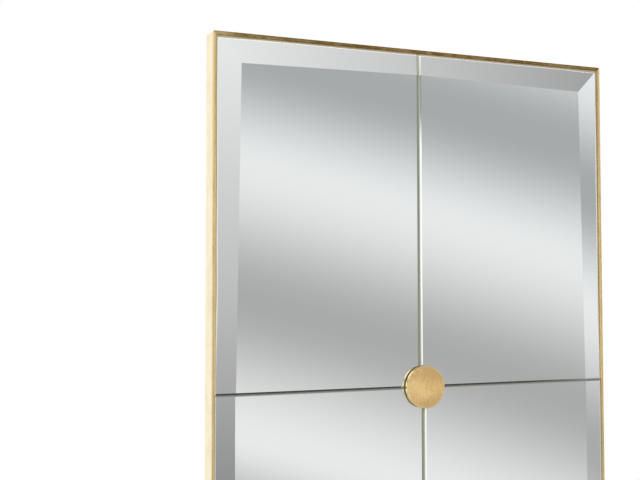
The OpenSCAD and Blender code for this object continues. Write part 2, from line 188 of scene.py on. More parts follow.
# %% [markdown]
# ## The studio that the glass sees
# A mirror has no colour of its own. What it shows is the room in front of it, so
# the room comes before the glass. Real lamps and cards could be modelled, but
# their edges would have to be blurred. It is simpler to paint the room on the
# world as sums of two angles: how far a direction turns to the mirror's right,
# and how far it rises. First come a grey wall and three long soft strips of
# light, which slope a little and turn slightly cool towards the top. They bend
# straight ahead and slope the other way on the left, so that the mirror has
# something to show from either side.

# %% Three strips of light on a grey wall
WALL_GREY = 0.43
STRIP_LIGHT = 0.44
STRIPS_DEG = ((-14.1, -9.9, -2.6), (-2.3, 5.06, 10.7), (11.4, 17.2, 23.0))
STRIP_SLOPE = 0.29
STRIP_SAG = 0.002
STRIP_MIDDLE_DEG = 25.0
STRIP_BEND = 3.0
COOL = (0.965, 0.995, 1.0)

world = bpy.data.worlds.new("studio")
scene.world = world
world.use_nodes = True
world.node_tree.nodes.clear()
sky = Shade(world.node_tree)
east, north, up = sky.node("TexCoord", out="Generated").parts()
turn = sky.sum("ARCTAN2", east, 0.0 - north) * np.degrees(1.0)
rise = sky.sum("ARCSINE", up) * np.degrees(1.0)
aside = sky.sum("SQRT", turn * turn + STRIP_BEND**2) - np.hypot(STRIP_MIDDLE_DEG, STRIP_BEND)
height = rise + aside * STRIP_SLOPE + aside * aside * STRIP_SAG
glow = sum(
    height.step(foot, crown) * (1.0 - height.step(crown, end)) for foot, crown, end in STRIPS_DEG
)
room = glow * STRIP_LIGHT + WALL_GREY
print("strips centred at", [crown for _, crown, _ in STRIPS_DEG], "degrees")

# %% [markdown]
# ## What the bevels see
# The wide bevels lean by 2.9 degrees, so they look nearly 6 degrees past what the
# flats see, and the narrow bevels along the seams lean by 22 and look 44 degrees
# past it. Each therefore shows its own part of the room: a wash of light beside
# the strips, a bright sweep above, a dark end on the right, and a black card below.
# Two tall softboxes stand far left, dimmer towards their tops, and a third lies
# across them. They light the narrow bevels and the side of the disc. The room's
# ceiling is grey, and its floor darkens towards the viewer's feet. Behind the
# mirror all is white, and so is whatever the camera sees past it.

# %% The rest of the room
WASH_TURN_DEG = ((6.5, 9.5), (13.6, 16.0))
SWEEP_LIGHT, SWEEP_RISE_DEG = 0.92, (13.2, 14.8)
CEILING_LIGHT, CEILING_RISE_DEG = 0.33, (21.0, 27.0)
ROOM_FLOOR_LIGHT, ROOM_FLOOR_RISE_DEG = 0.92, (-32.0, -18.0)
SOFTBOX_LIGHT = 1.08
SOFTBOX_DIMMING = 0.72
SOFTBOX_TURNS_DEG = ((-20.5, -11.0), (-33.5, -25.0))
TOP_BOX_TURN_DEG, TOP_BOX_RISE_DEG = (-36.0, 4.0), (17.5, 33.0)
DARK_END_LIGHT, DARK_END_TURN_DEG = 0.28, (50.0, 58.0)
CARD_LIGHT = 0.055
CARD_TURN_DEG, CARD_RISE_DEG = (12.0, 50.0), (-56.0, -35.5)

washed = turn.step(*WASH_TURN_DEG[0]) * (1.0 - turn.step(*WASH_TURN_DEG[1]))
room = room.towards(rise * 0.0235 + 0.547, washed)
upper_sweep = sky.sum("MINIMUM", 1.262 - (aside + STRIP_MIDDLE_DEG) * 0.0229, SWEEP_LIGHT)
room = room.towards(upper_sweep, rise.step(*SWEEP_RISE_DEG) * (1.0 - washed))
room = room.towards(CEILING_LIGHT, rise.step(*CEILING_RISE_DEG))
room = room.towards(rise * 0.007 + ROOM_FLOOR_LIGHT, 1.0 - rise.step(*ROOM_FLOOR_RISE_DEG))
above = rise.step(12.5, 14.5)
softbox = SOFTBOX_LIGHT - rise.step(7.6, 9.8) * SOFTBOX_DIMMING + above * 0.26
softboxes = sum(turn.band(*edges, 1.5) for edges in SOFTBOX_TURNS_DEG)
room = room.towards(softbox, softboxes * rise.step(-19.0, -13.0))
top_box = turn.band(*TOP_BOX_TURN_DEG, 3.0) * rise.band(*TOP_BOX_RISE_DEG, 1.5)
room = room.towards(SOFTBOX_LIGHT, top_box)
room = room.towards(DARK_END_LIGHT + above * 0.18, turn.step(*DARK_END_TURN_DEG))
black_card = rise.band(*CARD_RISE_DEG, 2.5) * turn.band(*CARD_TURN_DEG, 4.0)
room = room.towards(CARD_LIGHT, black_card)
in_front = (1.0 - turn.size().step(84.0, 96.0)) * (1.0 - sky.node("LightPath", out="Is Camera Ray"))
strength = 1.0 + (room - 1.0) * in_front
cool_share = height.step(3.0, 8.0) * (1.0 - washed) * (1.0 - above) * in_front
tint = cool_share.mix((1.0, 1.0, 1.0), COOL)
light = sky.node("Background", {}, {"Color": tint, "Strength": strength})
sky.node("OutputWorld", {}, {"Surface": light})
print("studio painted with", len(world.node_tree.nodes), "nodes")

# %% [markdown]
# ## Lamps
# The painted room lights the front at about half strength. Two soft lamps add the
# rest, so that a colour renders about as it is written. Polished pieces don't
# reflect the lamps, because the room already has its own lights.

# %% Two soft lamps
def soft_lamp(name, place, side, watts):
    """A square lamp, side metres across, that faces the middle of the mirror."""
    lamp = bpy.data.objects.new(name, bpy.data.lights.new(name, "AREA"))
    lamp.data.size = side
    lamp.data.energy = watts
    lamp.location = place
    lamp.rotation_euler = Vector(place).to_track_quat("Z", "Y").to_euler()
    lamp.visible_glossy = False
    scene.collection.objects.link(lamp)


soft_lamp("key", (-1.5, -2.2, 1.3), 1.4, 34.0)
soft_lamp("fill", (1.6, -2.0, 0.4), 1.2, 10.0)
print("key and fill lamps set")

# %% [markdown]
# ## Floor
# From the side or from behind, a floor shows where the mirror is by its shadow. A
# plane would end in a hard line, so it is a pale disc that fades into white. It lies
# below the photograph's view, and the glass doesn't see it.

# %% A floor that fades
FLOOR_RADIUS = 1.5
FLOOR_FADE_FROM = 0.75


def new_finish(name):
    """A new material, its shader node, and a Shade for sums in its tree."""
    finish = bpy.data.materials.new(name)
    finish.use_nodes = True
    return finish, finish.node_tree.nodes["Principled BSDF"], Shade(finish.node_tree)


def mesh_object(name, points, faces):
    """A new object whose mesh has these points and faces, in metres and at the origin."""
    mesh = bpy.data.meshes.new(name)
    mesh.from_pydata(points, [], faces)
    made = bpy.data.objects.new(name, mesh)
    scene.collection.objects.link(made)
    return made


def grid(x, y, z):
    """Points from three arrays, each stretched to the shape of the largest."""
    return np.stack(np.broadcast_arrays(x, y, z), -1)


around = np.linspace(0.0, 2 * np.pi, 128, endpoint=False)
floor_z = cad_box[0].z
rim = grid(np.cos(around), np.sin(around), 0.0) * FLOOR_RADIUS + (0, 0, floor_z)
floor = mesh_object("floor", rim.tolist(), [list(range(len(rim)))])
floor_finish, surface, paint = new_finish("pale_floor")
x, y, _ = paint.node("TexCoord", out="Object").parts()
from_middle = paint.sum("SQRT", x * x + y * y)
paint.fill(surface, {"Base Color": (0.9, 0.9, 0.9, 1.0), "Roughness": 0.8})
white = paint.node("Emission", {}, {"Color": (1.0, 1.0, 1.0, 1.0), "Strength": 1.0})
fade = from_middle.step(FLOOR_FADE_FROM, FLOOR_RADIUS)
faded = paint.node("MixShader", {}, {0: fade, 1: Shade(paint.tree, surface.outputs[0]), 2: white})
paint.fill(paint.tree.nodes["Material Output"], {"Surface": faded})
floor.data.materials.append(floor_finish)
floor.visible_glossy = False
print("floor at", round(floor_z, 4), "m")

# %% [markdown]
# ## Lines on the glass
# The panes keep their CAD shape, because its bevels are already exact. Round the
# outside the glass is ground to a thin matt rim, which shows as a pale line beside
# the frame's lip. Under the lip the rim is painted darker, as painted shade. Where
# two panes meet, their arrises are ground matt too, and the level one is painted
# dark as painted shade of the gap between the panes. Such lines could be cut into
# the mesh, but they are thin and they waver. So each is a mask instead: a soft step
# over how far a point lies from the glass's edge or from a seam.

# %% Masks for the ground lines
PANE_EDGE_X = 0.3782
PANE_EDGE_Z = 0.5842
SEAM_ASIDE, SEAM_STEP_X = 0.0024, 0.0032
SEAM_DROP, SEAM_STEP_Z = 0.0004, 0.0001
HAIR = 0.0001
ARRIS_START = 0.0006

silvered, surface, paint = new_finish("silvered_glass")
place = paint.node("TexCoord", out="Object")
x, _, z = place.parts()
wobble = place.noise(0.09, 2.0)
from_side = PANE_EDGE_X - x.size()
from_end = PANE_EDGE_Z - z.size()
high_up = z.step(0.02, 0.14)
# Painted shade: a dark line on the rim under the stiles' lip, wider higher up
painted_shade_width = 0.0026 + high_up * 0.0014 + wobble * 0.0016
painted_shade_at_sides = 1.0 - (from_side - painted_shade_width).step(-3 * HAIR, 3 * HAIR)
pale_width = 0.0034 + high_up * 0.0026 + wobble * 0.0014
side_line = 1.0 - (from_side - pale_width).step(-2 * HAIR, 2 * HAIR)
near_stile = x.size().step(0.29, 0.36)
end_depth = from_end - near_stile * 0.0012
# Painted shade under the top and bottom rails' lip
painted_shade_at_ends = 1.0 - end_depth.step(0.0050, 0.0056)
end_line = 1.0 - end_depth.step(0.0062, 0.0066)
rim = paint.sum("MAXIMUM", side_line, end_line)
painted_lip_shade = paint.sum("MAXIMUM", painted_shade_at_sides, painted_shade_at_ends)
from_upright = x + SEAM_ASIDE + paint.sum("SIGN", z) * SEAM_STEP_X
from_level = z + SEAM_DROP - paint.sum("SIGN", x) * SEAM_STEP_Z
arris_end = 0.0016 + (1.0 - z.step(0.05, 0.25)) * 0.0010
before_end = 1.0 - (from_upright - arris_end).step(-HAIR, HAIR)
upright_arris = (from_upright + ARRIS_START).step(-HAIR, HAIR) * before_end
left_narrow = from_upright.band(-0.0052, -ARRIS_START, 2 * HAIR)
# The level seam's ground arris on the lower pane, also painted dark as shade of the gap
level_arris_and_shade = from_level.band(-0.0018, 0.0005, HAIR)
arris = paint.sum("MAXIMUM", upright_arris, level_arris_and_shade)
print("masks for rim and arrises:", len(paint.tree.nodes), "nodes")

# %% [markdown]
# ## Silvered glass
# Real mirror glass is silvered on its back, so its colour is the room's, a little
# dimmed and greened. A pane of glass over a silver film could be modelled, but
# light would have to pass the glass twice at every look. The front is made the
# mirror instead, and the rest of the pane is told apart by which way its surface
# faces: the sawn edges are pale green, and the back has grey backing paint.

# %% Silvered glass finish
SILVER = (0.925, 0.937, 0.932)
# The colour of the painted shade under the frame's lip
PAINTED_LIP_SHADE = (0.40, 0.35, 0.24)
RIM_PALE = (0.72, 0.76, 0.66)
END_BRIGHT, END_PALE = (1.0, 1.0, 0.97), (0.80, 0.80, 0.78)
NARROW_BEVEL = (0.92, 0.93, 0.78)
UPRIGHT_ARRIS = (0.43, 0.445, 0.335)
# The level arris colour is painted shade of the gap between the panes
LEVEL_ARRIS_PAINTED_SHADE = (0.20, 0.205, 0.16)
GROUND_ROUGH = 0.45

_, facing, _ = paint.node("TexCoord", out="Normal").parts()
front = 1.0 - facing.step(-0.6, -0.5)
back = facing.step(0.5, 0.6)
roller = place.noise(0.0012, 4.0)
backing_paint = roller.mix((0.20, 0.22, 0.23), (0.30, 0.32, 0.33))
green_edge = place.stretched(1, 1, 0.2).noise(0.004).mix((0.30, 0.42, 0.35), (0.50, 0.60, 0.52))
sawn = back.mix(green_edge, backing_paint)
face = left_narrow.mix(SILVER, NARROW_BEVEL)
face = upright_arris.mix(face, UPRIGHT_ARRIS)
# Painted shade on the level seam's arris
face = level_arris_and_shade.mix(face, LEVEL_ARRIS_PAINTED_SHADE)
face = end_line.mix(face, x.step(-0.30, 0.10).mix(END_BRIGHT, END_PALE))
face = side_line.mix(face, RIM_PALE)
# Painted shade under the lip, mottled by the wobble
face = (painted_lip_shade * (0.75 + wobble * 0.4)).mix(face, PAINTED_LIP_SHADE)
polished = front * (1.0 - arris) * (1.0 - rim)
fogging = place.noise(0.012, 4.0) * 0.012 + 0.018
paint.fill(surface, {
    "Base Color": front.mix(sawn, face),
    "Metallic": polished,
    "Roughness": GROUND_ROUGH + (fogging - GROUND_ROUGH) * polished,
})
print("silvered glass:", len(paint.tree.nodes), "nodes")

# %% [markdown]
# ## Finishes on CAD nodes
# A CAD node whose shape is right needs only a finish. It could get a copy of its
# mesh with a new material, but its own mesh already has slots for one. So the
# finish goes into the slots, and the mesh stays as it is. The nodes are found by
# how their names start.

# %% Give CAD nodes a finish
def finish_nodes(finish, *starts):
    """The CAD nodes whose names start with one of these words get this finish."""
    found = [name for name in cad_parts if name.startswith(starts)]
    for name in found:
        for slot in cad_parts[name].material_slots:
            slot.material = finish
    print(finish.name, "on", ", ".join(found))


finish_nodes(silvered, "pane_")

# %% [markdown]
# ## Grids into pieces
# Every new piece is a grid of points: stations along it, and points round it at
# each station. The points are worked out as whole arrays, and the faces join each
# point to its neighbours. A grid can close on itself along its length, as a ring
# does, end in flat caps, as a bar does, or run to a pole at both ends, as a disc
# does. The volume inside tells whether the faces look outwards, and the order of
# the corners is turned if they don't.

# %% Make a piece from a grid of points
SHARP_FROM_DEG = 35.0
SAME_POINT = 1e-7


def piece_from_grid(name, points, ends):
    """A closed mesh from points[station, place round it]. Ends is "caps", "ring" or "poles"."""
    stations, round_it, _ = points.shape
    last = stations if ends == "ring" else stations - 1
    numbers = np.arange(stations * round_it).reshape(stations, round_it)
    beside = np.roll(numbers, -1, 1)
    corners = [numbers, beside, np.roll(beside, -1, 0), np.roll(numbers, -1, 0)]
    quads = np.stack(corners, -1)[:last].reshape(-1, 4)
    flat = points.reshape(-1, 3)
    a, b, c, d = (flat[quads[:, i]] for i in range(4))
    volume = (np.cross(c - a, d - b) * (a + b + c + d)).sum()
    faces = quads.tolist()
    if ends == "caps":
        faces += [numbers[0, ::-1].tolist(), numbers[-1].tolist()]
    if volume < 0:
        faces = [face[::-1] for face in faces]
    made = mesh_object(name, flat.tolist(), faces)
    if ends == "poles":
        shell = bmesh.new()
        shell.from_mesh(made.data)
        bmesh.ops.remove_doubles(shell, verts=shell.verts, dist=SAME_POINT)
        shell.to_mesh(made.data)
        shell.free()
    made.data.shade_smooth()
    made.data.set_sharp_from_angle(angle=np.radians(SHARP_FROM_DEG))
    return made


def fit_piece(piece, finish, body, slot, *nodes):
    """The piece gets its finish, moves with the body and stands for the CAD nodes."""
    piece.data.materials.append(finish)
    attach(piece, body)
    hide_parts(*nodes)
    print(piece.name, len(piece.data.vertices), "points for", ", ".join(nodes))


# %% [markdown]
# ## The frame's section
# Each member of the frame is one extruded section: a thin lip in front of the
# glass, a side wall, a channel for the corner keys, and a short return at the
# back. A section could be a box with parts cut out. It is simpler as one outline,
# whose corners are all square and are then eased by small arcs. An arc needs only
# the unit steps from its corner towards the two neighbouring corners.

# %% Measures of the section
MM = 0.001
FACE_W = 6.35
LIP_T = 2.0
WALL_T = 1.8
FRAME_D = 36.0
WALL_GAP = 3.0
CHANNEL_T = 1.4
CHANNEL_W = 16.0
CHANNEL_ROOM = 4.2
WEB_BACK = 22.7055
WEB_FRONT = WEB_BACK - CHANNEL_T
LIPS_FRONT = WEB_BACK + CHANNEL_ROOM
LIPS_BACK = LIPS_FRONT + CHANNEL_T
INNER_WALL = WALL_T + CHANNEL_W
SECTION_W = INNER_WALL + CHANNEL_T
CHANNEL_LIP = 4.5
RETURN_W = 6.0
ARRIS_R = 1.2
LIP_EDGE_R = 0.5
SHARP_R = 0.25
BACK_ARRIS_R = 0.6
LONGEST_STEP = 1.2
print("section", SECTION_W, "mm wide")


# %% Outline with eased corners
def eased_outline(corners, radii, arc_points=7):
    """The outline through square corners, each rounded by a quarter arc of its own radius.
    The arc's middle is one radius from the corner along both sides, and its points turn
    from the side that comes in to the side that goes out."""
    corners = np.array(corners, float)
    before = np.roll(corners, 1, 0) - corners
    after = np.roll(corners, -1, 0) - corners
    before /= np.linalg.norm(before, axis=1, keepdims=True)
    after /= np.linalg.norm(after, axis=1, keepdims=True)
    radius = np.array(radii, float)[:, None]
    middle = corners + radius * (before + after)
    turned = np.linspace(0.0, np.pi / 2, arc_points)[None, :, None]
    arc = middle[:, None] - radius[:, None] * (
        after[:, None] * np.cos(turned) + before[:, None] * np.sin(turned)
    )
    return arc.reshape(-1, 2)


def with_steps(outline, longest):
    """The closed outline with points added so that no side is longer than longest.
    Returns the points and how far round the outline each one lies."""
    closed = np.vstack([outline, outline[:1]])
    run = np.concatenate([[0.0], np.cumsum(np.linalg.norm(np.diff(closed, axis=0), axis=1))])
    places = np.union1d(run, np.arange(0.0, run[-1], longest))[:-1]
    return np.stack([np.interp(places, run, closed[:, i]) for i in (0, 1)], 1), places


section_corners = [
    (WALL_T, LIP_T), (WALL_T, WEB_FRONT), (SECTION_W, WEB_FRONT), (SECTION_W, LIPS_BACK),
    (INNER_WALL - CHANNEL_LIP, LIPS_BACK), (INNER_WALL - CHANNEL_LIP, LIPS_FRONT),
    (INNER_WALL, LIPS_FRONT), (INNER_WALL, WEB_BACK), (WALL_T, WEB_BACK), (WALL_T, LIPS_FRONT),
    (WALL_T + CHANNEL_LIP, LIPS_FRONT), (WALL_T + CHANNEL_LIP, LIPS_BACK), (WALL_T, LIPS_BACK),
    (WALL_T, FRAME_D - WALL_T), (RETURN_W, FRAME_D - WALL_T), (RETURN_W, FRAME_D), (0, FRAME_D),
    (0, 0), (FACE_W, 0), (FACE_W, LIP_T),
]
section_radii = [SHARP_R] * 16 + [BACK_ARRIS_R, ARRIS_R, LIP_EDGE_R, SHARP_R]
section, section_run = with_steps(eased_outline(section_corners, section_radii), LONGEST_STEP)
print("section:", len(section), "points,", round(section_run[-1], 1), "mm round")

# %% [markdown]
# ## Four members, mitred
# A member is the section carried along a straight path. At a mitre the section is
# cut at 45 degrees, so a point that lies deeper in the frame has a shorter way to
# go: half the frame's side less its own depth. That one subtraction makes the
# mitre. The outer corner of the frame is eased as well, and the lip's inner edge
# and the faces waver by a tenth of a millimetre or two, as filed and gilded
# metal does. The lip is a little narrower beside the lower panes.

# %% A slow waver
def waver(run, seed, waves=9):
    """A slow uneven line from -1 to 1: a sum of sines with chance lengths and starts."""
    chance = np.random.default_rng(seed)
    lengths = chance.uniform(40.0, 260.0, waves)
    starts = chance.uniform(0.0, 2 * np.pi, waves)
    return np.sin(2 * np.pi * run[..., None] / lengths + starts).mean(-1) * 1.6


print("waver at 0 and 100 mm:", waver(np.array([0.0, 100.0]), 5).round(2))

# %% Carry the section along a member
CORNER_R = 3.5
CORNER_CUT = CORNER_R * (1 - np.sqrt(0.5))
STATION_MM = 4.0
DENSE_END = 3.0
LIP_NARROWER = 1.7
LIP_WAVER = 0.22
FACE_WAVER = 0.08
STEADY_END = 12.0


def member_points(length, out, seed, narrow_below=False):
    """Points of a member that lies along its own first axis. A point of the section at depth d
    ends at half the length less d. Near the outer corner the depth grows by the drop of an arc.
    The last two axes are the way into the wall and the way out from the frame's middle. Where
    narrow_below is true, the lip is narrower on the lower half."""
    half = length / 2
    dense = np.linspace(0.0, DENSE_END, 9)
    ends = np.concatenate([dense, np.arange(DENSE_END + STATION_MM, half, STATION_MM)])
    share = np.unique(np.concatenate([-(1 - ends / half), 1 - ends / half]))[:, None]
    depth, back = section[:, 0][None], section[:, 1][None]
    outer = np.clip(1 - depth / 1.5, 0, 1)
    along = share * (half - depth - outer * CORNER_CUT)
    to_corner = half - np.abs(along)
    drop = CORNER_R - np.sqrt(CORNER_R**2 - np.clip(CORNER_R - to_corner, 0, CORNER_R) ** 2)
    on_lip = np.clip((depth - 3.0) / (FACE_W - 3.0), 0, 1)
    on_lip = on_lip * (back < LIP_T + 0.5) * (depth < FACE_W + 0.1)
    lip_edge = waver(along, seed) * LIP_WAVER - LIP_NARROWER * narrow_below * (along < -0.5)
    fade = np.clip(to_corner / STEADY_END, 0, 1)
    depth = depth + outer * drop + on_lip * lip_edge * fade
    hollow = (1 + waver(along + 400.0, seed + 1)) * FACE_WAVER * fade
    back = back + hollow * (back < 0.6)
    return grid(along, back - FRAME_D - WALL_GAP, out - depth) * MM


# %% Four members and their axes
width_mm = 2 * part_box("top_rail")[1].x / MM
height_mm = 2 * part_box("left_stile")[1].z / MM
X, Y, Z = np.eye(3)
members = {
    "top_rail": (member_points(width_mm, height_mm / 2, 5), [X, Y, Z]),
    "bottom_rail": (member_points(width_mm, height_mm / 2, 7), [X, Y, -Z]),
    "left_stile": (member_points(height_mm, width_mm / 2, 3, narrow_below=True), [Z, Y, -X]),
    "right_stile": (member_points(height_mm, width_mm / 2, 11, narrow_below=True), [Z, Y, X]),
}
print("frame", round(width_mm, 1), "by", round(height_mm, 1), "mm")

# %% [markdown]
# ## Gilding
# The frame is covered in leaf of a brassy gold over a reddish ground, rubbed
# through at the sharp edges, and then toned with a brown wash, which also carries
# painted shade. The outer sides, and the stiles' front arris, are painted pale as
# painted light. The grain has to run along each member, round the mitres, so the
# finish doesn't read the place in space. It reads two attributes that each member's
# mesh holds: how far along and round the member a point lies, and how much wash and
# painted shade, wear, and painted light it has.

# %% Gilded finish
LEAF = (0.90, 0.67, 0.31)
# Painted light: the pale leaf on the outer sides and on the stiles' front arris
LEAF_PAINTED_LIGHT = (1.0, 0.90, 0.645)
CLOUD_SHADE = (0.86, 0.74, 0.60)
STROKE_SHADE = (0.72, 0.60, 0.45)
# A brown wash, which also serves as painted shade
BROWN_WASH_AND_SHADE = (0.175, 0.095, 0.014)
RED_GROUND = (0.23, 0.075, 0.035)
LEAF_SQUARE = 0.084

gilded, surface, paint = new_finish("gilded_leaf")
leaf_place = paint.node("Attribute", {"attribute_name": "leaf_place"}, out="Vector")
# Masks from the mesh: wash and painted shade, wear, and painted light
wash_and_painted_shade, rubbed, pale = paint.node("Attribute", {"attribute_name": "leaf_masks"}, out="Vector").parts()
along, _, _ = leaf_place.parts()
strokes = leaf_place.stretched(0.13, 1, 1).noise(0.0013, 4.0, 0.6)
clouds = leaf_place.stretched(0.5, 1, 1).noise(0.02, 3.0)
specks = leaf_place.stretched(0.4, 1, 1).noise(0.0022, 3.0)
squares = along * (1 / LEAF_SQUARE) + clouds * 0.06
lap = squares.sum("FRACT", squares).step(0.975, 0.985)
# Painted light: paler leaf where the third mask is set
gold = pale.mix(LEAF, LEAF_PAINTED_LIGHT)
gold = (clouds.step(0.35, 0.75) * 0.35).mix(gold, CLOUD_SHADE, "MULTIPLY")
gold = (strokes.step(0.45, 0.7) * 0.3 * (1.0 - pale)).mix(gold, STROKE_SHADE, "MULTIPLY")
streaks = clouds.step(0.3, 0.7) * 0.25 + strokes.step(0.3, 0.7) * 0.28
# Wash and painted shade
gold = (wash_and_painted_shade * (0.62 + streaks) + lap * 0.05).mix(gold, BROWN_WASH_AND_SHADE)
worn = rubbed * specks.step(0.52, 0.66) + specks.step(0.70, 0.74) * 0.5 * (1.0 - pale)
worn = worn.sum("MINIMUM", worn, 1.0)
paint.fill(surface, {
    "Base Color": (worn * 0.8).mix(gold, RED_GROUND),
    "Metallic": 0.58 - worn * 0.4,
    "Roughness": 0.34 + strokes * 0.14 + worn * 0.2,
    "Normal": (strokes + specks * 0.5).relief(0.0004, 0.35),
})
print("gilded leaf:", len(paint.tree.nodes), "nodes")

# %% [markdown]
# ## Gild the members
# The wash, which also serves as painted shade, lies darkest on the rails' faces. On the
# stiles it runs in two lines: an outer one that fades towards the top, and an inner one that starts
# near the top.
# The masks could be painted by hand. They are worked out instead from two things
# that each point knows, its depth in the section and its place along the member.

# %% Masks and meshes of the members
# How much wash and painted shade each part gets: along the stiles' faces, on the rails' faces, sides
# and edges, less near the left corner, and more inside the channel
FACE_SPLIT = 3.4
ARRIS_W = 1.3
STILE_OUTER = ((-200.0, 325.0, 440.0, 520.0), (0.45, 0.24, 0.03, -0.1))
STILE_INNER = ((325.0, 440.0), (0.0, 0.36))
RAIL_FACE, RAIL_SIDE = 0.98, 0.26
LIGHT_CORNER_FROM, LIGHT_CORNER_RUN, LIGHT_CORNER = 338.0, 22.0, 0.36
RAIL_EDGES = 0.15
INSIDE = 0.3
# Painted light on the outer sides, strongest on the left stile, and on the stiles' front arris
SIDE_PAINTED_LIGHT = {"left_stile": 1.0, "right_stile": 0.7, "top_rail": 0.35, "bottom_rail": 0.35}
ARRIS_PAINTED_HIGHLIGHT = 0.7

section_depth, section_back = section[:, 0], section[:, 1]
front_face = section_back < 0.4
on_arris = (section_depth < ARRIS_W) & (section_back < ARRIS_W)
rub_outside = np.clip(1 - np.abs(np.hypot(section_depth, section_back) - 0.6), 0, 1) * 0.6
rub_lip = np.clip(1 - np.hypot(section_depth - FACE_W, section_back) / 0.9, 0, 1)
for name, (points, axes) in members.items():
    piece = piece_from_grid("gilded_" + name, points @ np.array(axes), "caps")
    run = points[..., 0]
    place_mm = run / MM
    rub = np.maximum(rub_outside, rub_lip)
    # Painted light on the outer side, and on the stiles also on the front arris
    side = (section_depth < 0.25) & (section_back > 0.9)
    if "stile" in name:
        outer, inner = np.interp(place_mm, *STILE_OUTER), np.interp(place_mm, *STILE_INNER)
        # Wash and painted shade on the stiles' faces
        wash_and_shade_mask = np.where(section_depth < FACE_SPLIT, outer, inner) * front_face * ~on_arris
        side = np.where(on_arris, ARRIS_PAINTED_HIGHLIGHT, side)
        rub = rub * ~on_arris
    else:
        near_corner = np.clip((-place_mm - LIGHT_CORNER_FROM) / LIGHT_CORNER_RUN, 0, 1)
        # Wash and painted shade on the rails, lighter near the left corner and darker at the face's
        # edges
        wash_and_shade_mask = np.where(front_face, RAIL_FACE, RAIL_SIDE) - LIGHT_CORNER * near_corner * front_face
        wash_and_shade_mask = wash_and_shade_mask + RAIL_EDGES * front_face * ((section_depth < 1.8) | (section_depth > 4.8))
    # Painted shade inside the channel
    wash_and_shade_mask = wash_and_shade_mask + INSIDE * (section_back > WEB_FRONT - 0.2) * (section_depth > WALL_T - 0.1)
    masks = grid(wash_and_shade_mask, rub, side * SIDE_PAINTED_LIGHT[name])
    # The third number only shifts the grain from member to member
    place = grid(run, section_run * MM, len(name))
    for attribute, values in (("leaf_place", place), ("leaf_masks", masks)):
        layer = piece.data.attributes.new(attribute, "FLOAT_VECTOR", "POINT")
        layer.data.foreach_set("vector", values.astype(np.float32).ravel())
    fit_piece(piece, gilded, "mirror", "gilded_frame", name)

# %% [markdown]
# ## Turned pieces
# The disc, its pad and the bumpers are round about an axis that points to the wall.
# A cylinder with a bevel would give their outline, but not a beaten face, a bulged
# side or a flared foot. Each is drawn instead as one outline, a radius and a place
# along Y, and turned about its axis. A solid piece has an outline that starts and ends
# on the axis, and a piece with a hole has one that closes on itself.

# %% Turn an outline about an axis
def arc(middle, radius, start, end, points=8):
    """Points on part of a circle, from one angle in degrees to another."""
    angle = np.radians(np.linspace(start, end, points))[:, None]
    return np.array(middle) + radius * np.hstack([np.cos(angle), np.sin(angle)])


def turned(outline, turns, x=0.0, z=0.0):
    """Points[outline, turn]: at radius r and turn t a point lies at (x + r cos t, y, z + r sin t)."""
    t = np.linspace(0.0, 2 * np.pi, turns, endpoint=False)[None]
    radius, depth = outline[:, :1], outline[:, 1:2]
    return grid(x + radius * np.cos(t), depth, z + radius * np.sin(t))


def box_mm(node):
    """The lowest and the highest corner of a CAD node, in millimetres."""
    return [np.array(corner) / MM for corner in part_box(node)]


print(len(arc((0, 0), 1.0, 0.0, 90.0)), "points make a quarter of a turn")

# %% [markdown]
# ## The gilded disc
# The disc was cut from plate, its front edge was eased, and its face was beaten
# lightly before it was gilded, so that light moves over it. The face is lowered
# by a few hundredths of a millimetre in waves that run in chance directions. Its
# outline goes from the middle of the face over the edge and the back to the bottom
# of the tapped hole for the stud.

# %% Beat and turn the disc
BEATEN_MM = 0.07
EDGE_R, BACK_R, STUD_R, STUD_GRIP = 0.8, 0.3, 3.0, 4.0
FACE_POINTS = 44


def dents(x, z, seed, shortest, longest, waves=16):
    """Dents from 0 to 1 over a face: the mean of straight waves with chance ways and lengths."""
    chance = np.random.default_rng(seed)
    way = chance.uniform(0.0, 2 * np.pi, waves)
    pitch = 2 * np.pi / chance.uniform(shortest, longest, waves)
    start = chance.uniform(0.0, 2 * np.pi, waves)
    along = x[..., None] * (np.cos(way) * pitch) + z[..., None] * (np.sin(way) * pitch)
    return np.clip(0.5 + np.sin(along + start).mean(-1) * 1.3, 0.0, 1.0)


low, high = box_mm("rosette")
disc_r, disc_front, disc_back = high[0], low[1], high[1]
face_radii = np.linspace(0.0, disc_r - EDGE_R - 0.4, FACE_POINTS)
outline = np.vstack([
    np.stack([face_radii, np.full(FACE_POINTS, disc_front)], 1),
    arc((disc_r - EDGE_R, disc_front + EDGE_R), EDGE_R, -90.0, 0.0, 10),
    arc((disc_r - BACK_R, disc_back - BACK_R), BACK_R, 0.0, 90.0, 5),
    [(20.0, disc_back), (STUD_R + 0.3, disc_back), (STUD_R, disc_back - 0.3)],
    [(STUD_R, disc_back - STUD_GRIP), (0.0, disc_back - STUD_GRIP)],
])
points = turned(outline, 200)
inwards = np.clip((disc_r - EDGE_R - outline[:, :1]) / 3.0, 0, 1)
on_face = inwards * (outline[:, 1:] < disc_front + 0.01)
beaten = BEATEN_MM * dents(points[..., 0], points[..., 2], 21, 11.0, 34.0)
points[..., 1] += on_face * beaten
disc = piece_from_grid("gilded_disc", points * MM, "poles")
print("disc", round(2 * disc_r, 1), "mm across")

# %% [markdown]
# ## The disc's leaf
# The leaf on the disc was brushed. It is painted darker to the right and away from the
# level middle line, as painted shade, and paler round the rim and on the side as a
# painted highlight, where it was also burnished and reflects the room. Above and below,
# the rim's side is painted darker as painted shade. A single noise would make it look
# like cork, so three are added: broad patches, brush strokes drawn out upwards, and fine
# scratches.

# %% Gilded finish of the disc
DISC_LEAF = (0.95, 0.655, 0.29)
# Worn leaf, also used for the painted shade
DISC_WORN_AND_SHADED = (0.70, 0.455, 0.19)
DISC_SCRATCH = (0.80, 0.68, 0.50)
